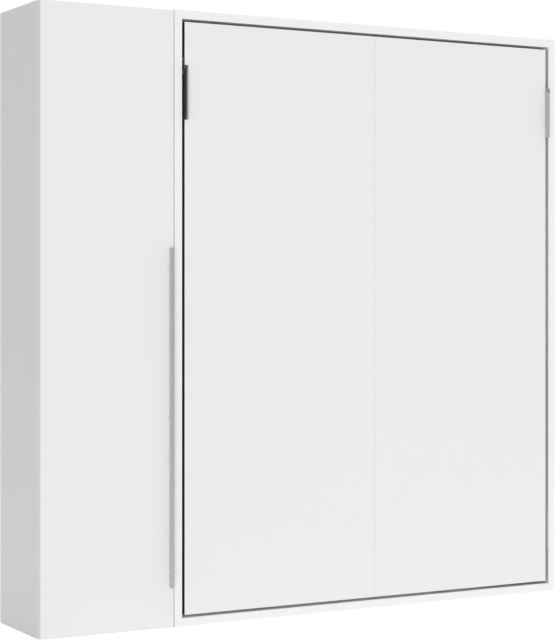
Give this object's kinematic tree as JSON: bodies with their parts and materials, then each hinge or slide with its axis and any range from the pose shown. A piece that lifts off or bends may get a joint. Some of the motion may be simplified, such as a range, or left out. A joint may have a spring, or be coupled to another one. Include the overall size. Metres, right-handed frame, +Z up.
{
  "type": "wall bed with closet and fold-down desk",
  "caption": "Upright wall bed in a white cabinet with a tall hinged closet beside it; the bed front tips down on gas struts and grips that fold into legs, with a desk leaf on one side.",
  "frame": {"origin": "on the floor, under the middle of the unit's overall box with bed, door and desk closed", "axes": "+X to the right across the front, +Y back toward the wall, +Z up; the front faces -Y"},
  "size_m": [2.2385, 0.428, 2.2],
  "materials": {
    "white_board": "smooth matt white coated board",
    "satin_metal": "satin",
    "zinc_metal": "zinc plated",
    "dark_steel": "black powder coat",
    "grey_tube": "silver-grey powder coat",
    "rail_wood": "clear lacquered birch ply",
    "slat_wood": "bent beech ply",
    "bush_bronze": "plain bearing bronze",
    "grey_plastic": "moulded"
  },
  "bodies": {
    "cabinet": {"closet_side_left": "white_board", "closet_side_right": "white_board", "closet_top": "white_board", "closet_base": "white_board", "closet_back": "white_board", "fixed_shelf": "white_board", "adjustable_shelves": "white_board", "shelf_pins": "zinc_metal", "hinge_arms": "zinc_metal", "joining_bolts": "zinc_metal", "frame_side_left": "white_board", "frame_side_right": "white_board", "frame_top": "white_board", "frame_base": "white_board", "wall_rail_upper": "white_board", "wall_rail_lower": "white_board", "pivot_plates": "dark_steel", "pivot_pins": "zinc_metal", "strut_anchors": "dark_steel", "stop_blocks": "grey_plastic", "desk_ledger": "white_board", "desk_hinge_fixed": "zinc_metal", "desk_hinge_pin": "zinc_metal", "desk_catch": "grey_plastic"},
    "door": {"closet_door": "white_board", "handle_bar": "satin_metal", "handle_posts": "satin_metal", "hinge_cups": "zinc_metal", "door_bumpers": "grey_plastic"},
    "bed": {"front_board_left": "white_board", "front_board_right": "white_board", "front_side_strips": "dark_steel", "side_rail_left": "rail_wood", "side_rail_right": "rail_wood", "head_rail": "rail_wood", "foot_rail": "rail_wood", "centre_beam": "rail_wood", "slats": "slat_wood", "slat_holders": "grey_plastic", "arm_plates": "dark_steel", "pivot_bushes": "bush_bronze", "mattress_hoop": "grey_tube", "angle_brackets": "zinc_metal", "leg_brackets": "dark_steel", "leg_pins": "zinc_metal", "leg_magnets": "dark_steel"},
    "left_leg": {"leg_left": "satin_metal"},
    "right_leg": {"leg_right": "satin_metal"},
    "left_cylinder": {"strut_cylinder_left": "dark_steel"},
    "right_cylinder": {"strut_cylinder_right": "dark_steel"},
    "left_rod": {"strut_rod_left": "zinc_metal", "strut_stud_left": "dark_steel"},
    "right_rod": {"strut_rod_right": "zinc_metal", "strut_stud_right": "dark_steel"},
    "desk": {"desk_leaf": "white_board", "desk_hinge_moving": "zinc_metal", "desk_strike": "zinc_metal", "desk_leg_saddles": "dark_steel", "desk_leg_rest": "grey_plastic"},
    "desk_leg": {"desk_leg": "grey_tube"}
  },
  "joints": [
    {"name": "door_swing", "type": "hinge", "parent": "cabinet", "child": "door", "pos_m": [-1.11925, -0.1405, 1.1], "axis": [0, 0, 1], "range_deg": [-100, 0]},
    {"name": "bed_tilt", "type": "hinge", "parent": "cabinet", "child": "bed", "pos_m": [0.23275, -0.137, 0.236], "axis": [1, 0, 0], "range_deg": [0, 90], "stiffness_Nm_per_rad": 150, "springref_deg": -22.92},
    {"name": "leg_left_swing", "type": "hinge", "parent": "bed", "child": "left_leg", "pos_m": [-0.56765, -0.18725, 1.995], "axis": [1, 0, 0], "range_deg": [-90, 0]},
    {"name": "leg_right_swing", "type": "hinge", "parent": "bed", "child": "right_leg", "pos_m": [1.03315, -0.18725, 1.995], "axis": [1, 0, 0], "range_deg": [-90, 0]},
    {"name": "strut_left_swing", "type": "hinge", "parent": "cabinet", "child": "left_cylinder", "pos_m": [-0.55875, -0.067, 0.936], "axis": [1, 0, 0], "range_deg": [0, 1.82]},
    {"name": "strut_right_swing", "type": "hinge", "parent": "cabinet", "child": "right_cylinder", "pos_m": [1.02425, -0.067, 0.936], "axis": [1, 0, 0], "range_deg": [0, 1.82]},
    {"name": "strut_left_slide", "type": "slide", "parent": "left_cylinder", "child": "left_rod", "axis": [0, 0, 1], "range_m": [0, 0.1598]},
    {"name": "strut_right_slide", "type": "slide", "parent": "right_cylinder", "child": "right_rod", "axis": [0, 0, 1], "range_m": [0, 0.1598]},
    {"name": "desk_fold", "type": "hinge", "parent": "cabinet", "child": "desk", "pos_m": [1.10305, 0.045, 0.7167], "axis": [0, 1, 0], "range_deg": [0, 90]},
    {"name": "desk_leg_swing", "type": "hinge", "parent": "desk", "child": "desk_leg", "pos_m": [1.10825, 0.045, 1.5857], "axis": [0, 1, 0], "range_deg": [-90, 0]}
  ],
  "couplings": [
    {"joint": "leg_left_swing", "follows": "bed_tilt", "ratio": -1},
    {"joint": "leg_right_swing", "follows": "bed_tilt", "ratio": -1},
    {"joint": "strut_left_swing", "follows": "bed_tilt", "ratio": 0.020203},
    {"joint": "strut_right_swing", "follows": "bed_tilt", "ratio": 0.020203},
    {"joint": "strut_left_slide", "follows": "bed_tilt", "m_per_rad": 0.10166},
    {"joint": "strut_right_slide", "follows": "bed_tilt", "m_per_rad": 0.10166},
    {"joint": "desk_leg_swing", "follows": "desk_fold", "ratio": -1}
  ]
}
